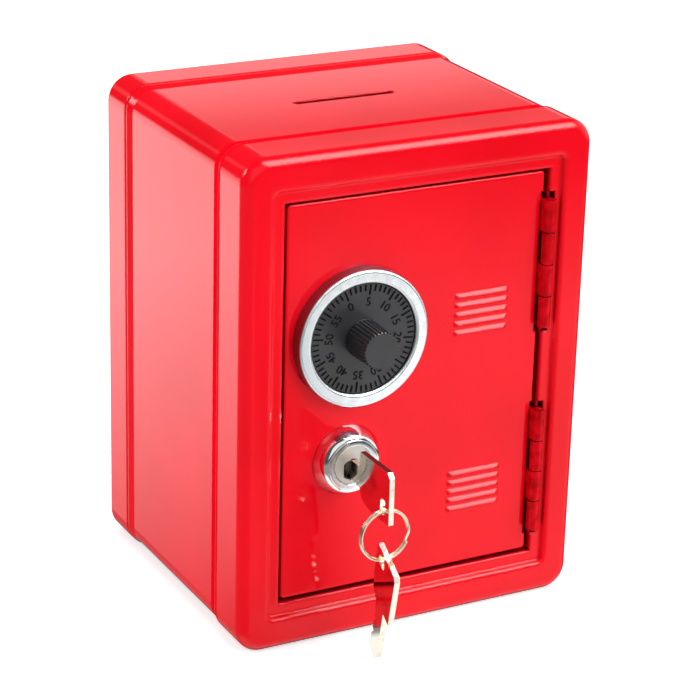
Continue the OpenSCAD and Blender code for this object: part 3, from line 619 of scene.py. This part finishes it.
class TOYSAFE_OT_keys(bpy.types.Operator):
    """Finish the keys and their split ring"""

    bl_idname = "toysafe.keys"
    bl_label = "Keys and Ring"

    def execute(self, context):
        # The first key's upper edges are browner
        dress(nickel_plate("nickel_key_brown_above", "#f4eadb", "#cfc3b0", rough=0.05, upward_brown="#64463a"), "key")
        dress(nickel_plate("tumbled_nickel_key", "#f4eadb", "#cfc3b0", rough=0.05), "spare_key")
        self.ring(context.scene.toy_safe_sizes)
        return {"FINISHED"}

    def ring(self, sizes):
        """Two turns of round wire that cross over once."""
        low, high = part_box("split_ring")
        centre = (low + high) / 2
        outer = (high.x - low.x) / 2
        inner = min(radius for radius, depth in lathe_points("split_ring", centre))
        gap = sizes.wire_gap
        half_thick = (high.y - low.y - gap) / 4
        half_wide = (outer - inner) / 2
        # The middle of the crossing lies 10 degrees below the ring's right side
        crossing = math.radians(28)
        first = -crossing / 2 - math.radians(10)
        steps = 260
        sides = 14
        form = bmesh.new()
        rows = []
        for i in range(steps + 1):
            turn = crossing + (4 * math.pi - crossing) * i / steps
            over = min(max((turn - 2 * math.pi) / crossing, 0.0), 1.0)
            side = (3 * over**2 - 2 * over**3) * 2 - 1
            row = []
            for j in range(sides):
                around = 2 * math.pi * j / sides
                radius = (outer + inner) / 2 + half_wide * math.cos(around)
                depth = -side * (half_thick + gap / 2) + half_thick * math.sin(around)
                x = centre.x + radius * math.cos(first + turn)
                z = centre.z + radius * math.sin(first + turn)
                row.append(form.verts.new((x, centre.y + depth, z)))
            rows.append(row)
        for row, after in zip(rows, rows[1:]):
            for j in range(sides):
                k = (j + 1) % sides
                form.faces.new((row[j], row[k], after[k], after[j]))
        form.faces.new(rows[0])
        form.faces.new(reversed(rows[-1]))
        mesh = closed_mesh("split_ring_wire", form)
        metal = bright_plate("nickel_plated_ring", "#fff0d6", face=0.2, side=0.2)
        piece = new_piece("split_ring_wire", mesh, metal, "ring_hung")
        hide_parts("split_ring")


class TOYSAFE_OT_stage(bpy.types.Operator):
    """Set the floor, the soft lamps, the world and the camera"""

    bl_idname = "toysafe.stage"
    bl_label = "Stage"

    def execute(self, context):
        scene = context.scene
        mesh = bpy.data.meshes.new("studio_floor")
        form = bmesh.new()
        bmesh.ops.create_grid(form, x_segments=1, y_segments=1, size=FLOOR_HALF)
        form.to_mesh(mesh)
        form.free()
        floor = bpy.data.objects.new("studio_floor", mesh)
        floor.location = (0.0, 0.0, -FLOOR_DROP)
        scene.collection.objects.link(floor)
        mesh.materials.append(studio_floor())

        self.lamp(scene, "left_softbox", (-1.25, 0.4, 0.75), (0.0, 0.04, 0.08), (1.1, 1.1), 9.6)
        self.lamp(scene, "front_softbox", (0.9, -1.35, 1.1), (0.0, 0.0, 0.08), (1.5, 1.5), 23.5)
        self.lamp(scene, "top_softbox", (0.1, 0.25, 1.6), (0.0, 0.04, 0.1), (1.2, 1.2), 11.0)

        world = bpy.data.worlds.new("studio_air")
        scene.world = world
        world.use_nodes = True
        tree = world.node_tree
        tree.nodes.clear()
        backdrop = (*scene.toy_safe_colours.backdrop, 1.0)
        path = add(tree, "LightPath")
        soft = add(tree, "Background", {"Color": backdrop, "Strength": 0.35}).outputs[0]
        plain = add(tree, "Background", {"Color": backdrop, "Strength": 1.0}).outputs[0]
        mirrored = add(tree, "Background", {"Color": backdrop, "Strength": self.room(tree)}).outputs[0]
        seen = add(tree, "MixShader", [path.outputs["Is Camera Ray"], soft, plain]).outputs[0]
        air = add(tree, "MixShader", [path.outputs["Is Glossy Ray"], seen, mirrored]).outputs[0]
        add(tree, "OutputWorld", {"Surface": air})

        self.camera(scene)
        scene.view_settings.view_transform = "Standard"
        return {"FINISHED"}

    def room(self, tree):
        """Brightness of the room that the gloss mirrors, by direction, tuned for the photo's angle."""
        way = add(tree, "TexCoord").outputs["Generated"]
        ways = add(tree, "SeparateXYZ", [way])
        slant = add(tree, "VectorMath", [way, (0.0, -0.325, 1.0)], operation="DOT_PRODUCT").outputs["Value"]
        paled = add(tree, "MapRange", [slant, -0.018, 0.008, 1.12, 0.16]).outputs[0]
        right_rear = panel(tree, ways, 1.0, X=(0.2, 0.37, 2, 3), Y=(0.2, 0.5, 2, 3), Z=(0.1, 0.2, 0.6, 0.8))
        pale_wall = add(tree, "Math", [paled, right_rear], operation="MULTIPLY").outputs[0]
        # A lamp's glow on that wall, higher up
        lit = panel(tree, ways, 0.7, X=(0.2, 0.37, 2, 3), Y=(0.2, 0.5, 2, 3))
        glow = add(tree, "Math", [band(tree, slant, (0.01, 0.02, 0.05, 0.12)), lit], operation="MULTIPLY").outputs[0]
        # The soft box's left end leans to the right as it comes down
        lean = add(tree, "VectorMath", [way, (1.0, 0.57, 0.0)], operation="DOT_PRODUCT").outputs["Value"]
        box_end = add(tree, "MapRange", [lean, -0.23, -0.1, 0.0, 1.0]).outputs[0]
        box_body = panel(tree, ways, 14.0, X=(-0.1, 0.05, 0.6, 0.8), Y=(-3, -2, -0.38, 0.02), Z=(0.28, 0.55, 2, 3))
        box_light = add(tree, "Math", [box_end, box_body], operation="MULTIPLY").outputs[0]
        panels = (
            # Soft box overhead in front, towards the right
            box_light,
            glow,
            # Lit table, low in front: on the far right, and nearer the middle
            panel(tree, ways, 1.25, X=(0.412, 0.436, 2, 3), Y=(-3, -2, -0.3, -0.1), Z=(-3, -2, -0.345, -0.285)),
            panel(tree, ways, 0.7, X=(0.1, 0.25, 0.401, 0.407), Y=(-3, -2, -0.3, -0.1), Z=(-3, -2, -0.34, -0.28)),
            # Pale room behind the camera
            panel(tree, ways, 0.9, X=(-0.8, -0.65, 0.25, 0.33), Y=(-3, -2, -0.4, -0.25), Z=(-0.05, 0.1, 0.8, 0.9)),
            # Floor close under and in front
            panel(tree, ways, 1.2, Y=(-3, -2, 0.1, 0.3), Z=(-3, -2, -0.7, -0.55)),
            # Lit floor behind to the left
            panel(tree, ways, 2.7, X=(-0.57, -0.46, -0.3, -0.12), Y=(0.5, 0.7, 2, 3), Z=(-0.48, -0.33, -0.1, 0.0)),
            # Edge of a far panel behind to the left
            panel(tree, ways, 0.6, X=(-0.46, -0.4, -0.33, -0.26), Y=(0.6, 0.7, 2, 3), Z=(0.18, 0.25, 0.33, 0.4)),
            # Small lamp on the left
            panel(tree, ways, 12.0, X=(-0.85, -0.72, -0.55, -0.45), Y=(0.3, 0.45, 0.7, 0.8), Z=(0.2, 0.3, 0.45, 0.55)),
            # Wall on the right
            panel(tree, ways, 1.2, X=(0.7, 0.85, 2, 3), Z=(-0.2, -0.1, 0.8, 0.9)),
            # Dull floor, but not to the right
            panel(tree, ways, 0.3, X=(-3, -2, 0.1, 0.3), Z=(-3, -2, -0.25, -0.05)),
            # The least light anywhere
            0.08,
        )
        light = pale_wall
        for part in panels:
            light = add(tree, "Math", [light, part], operation="MAXIMUM").outputs[0]
        return light

    def lamp(self, scene, name, place, target, size, power):
        """A soft box of that size in metres and power in watts, aimed at the target."""
        light = bpy.data.lights.new(name, "AREA")
        light.shape = "RECTANGLE"
        light.size, light.size_y = size
        light.energy = power
        lamp = bpy.data.objects.new(name, light)
        lamp.location = place
        aim = Vector(target) - Vector(place)
        lamp.rotation_euler = aim.to_track_quat("-Z", "Y").to_euler()
        # The gloss mirrors the room instead, so that its highlights have soft ends
        lamp.visible_glossy = False
        scene.collection.objects.link(lamp)

    def camera(self, scene):
        """The camera, fitted to the photo's vanishing lines and the cabinet's edges."""
        azimuth, elevation, roll = (math.radians(v) for v in (-28.33, 21.33, 1.61))
        right = Vector((math.cos(azimuth), math.sin(azimuth), 0.0))
        back = Vector(
            (
                math.sin(azimuth) * math.cos(elevation),
                -math.cos(azimuth) * math.cos(elevation),
                math.sin(elevation),
            )
        )
        up = back.cross(right)
        rolled_right = math.cos(roll) * right + math.sin(roll) * up
        rolled_up = -math.sin(roll) * right + math.cos(roll) * up
        turn = Matrix((rolled_right, rolled_up, back)).transposed()
        data = bpy.data.cameras.new("photo_camera")
        data.sensor_width = 36.0
        data.lens = 132.2
        data.dof.use_dof = False
        camera = bpy.data.objects.new("photo_camera", data)
        camera.matrix_world = Matrix.Translation(CAMERA_PLACE) @ turn.to_4x4()
        scene.collection.objects.link(camera)
        scene.camera = camera


class TOYSAFE_PT_panel(bpy.types.Panel):
    """Toy safe bank"""

    bl_idname = "TOYSAFE_PT_panel"
    bl_label = "Toy Safe Bank"
    bl_space_type = "VIEW_3D"
    bl_region_type = "UI"
    bl_category = "Toy Safe"

    def draw(self, context):
        layout = self.layout
        for group in (context.scene.toy_safe_sizes, context.scene.toy_safe_colours):
            box = layout.box()
            for name in group.__annotations__:
                box.prop(group, name)
        for operator in OPERATORS:
            layout.operator(operator.bl_idname)


OPERATORS = (
    TOYSAFE_OT_cabinet,
    TOYSAFE_OT_dial,
    TOYSAFE_OT_numbers,
    TOYSAFE_OT_lock,
    TOYSAFE_OT_keys,
    TOYSAFE_OT_stage,
)
CLASSES = (ToySafeSizes, ToySafeColours, *OPERATORS, TOYSAFE_PT_panel)


def register():
    for cls in CLASSES:
        bpy.utils.register_class(cls)
    bpy.types.Scene.toy_safe_sizes = PointerProperty(type=ToySafeSizes)
    bpy.types.Scene.toy_safe_colours = PointerProperty(type=ToySafeColours)


def unregister():
    del bpy.types.Scene.toy_safe_colours
    del bpy.types.Scene.toy_safe_sizes
    for cls in reversed(CLASSES):
        bpy.utils.unregister_class(cls)


def main():
    register()
    bpy.ops.toysafe.cabinet()
    bpy.ops.toysafe.dial()
    bpy.ops.toysafe.numbers()
    bpy.ops.toysafe.lock()
    bpy.ops.toysafe.keys()
    bpy.ops.toysafe.stage()


if __name__ == "__main__":
    main()
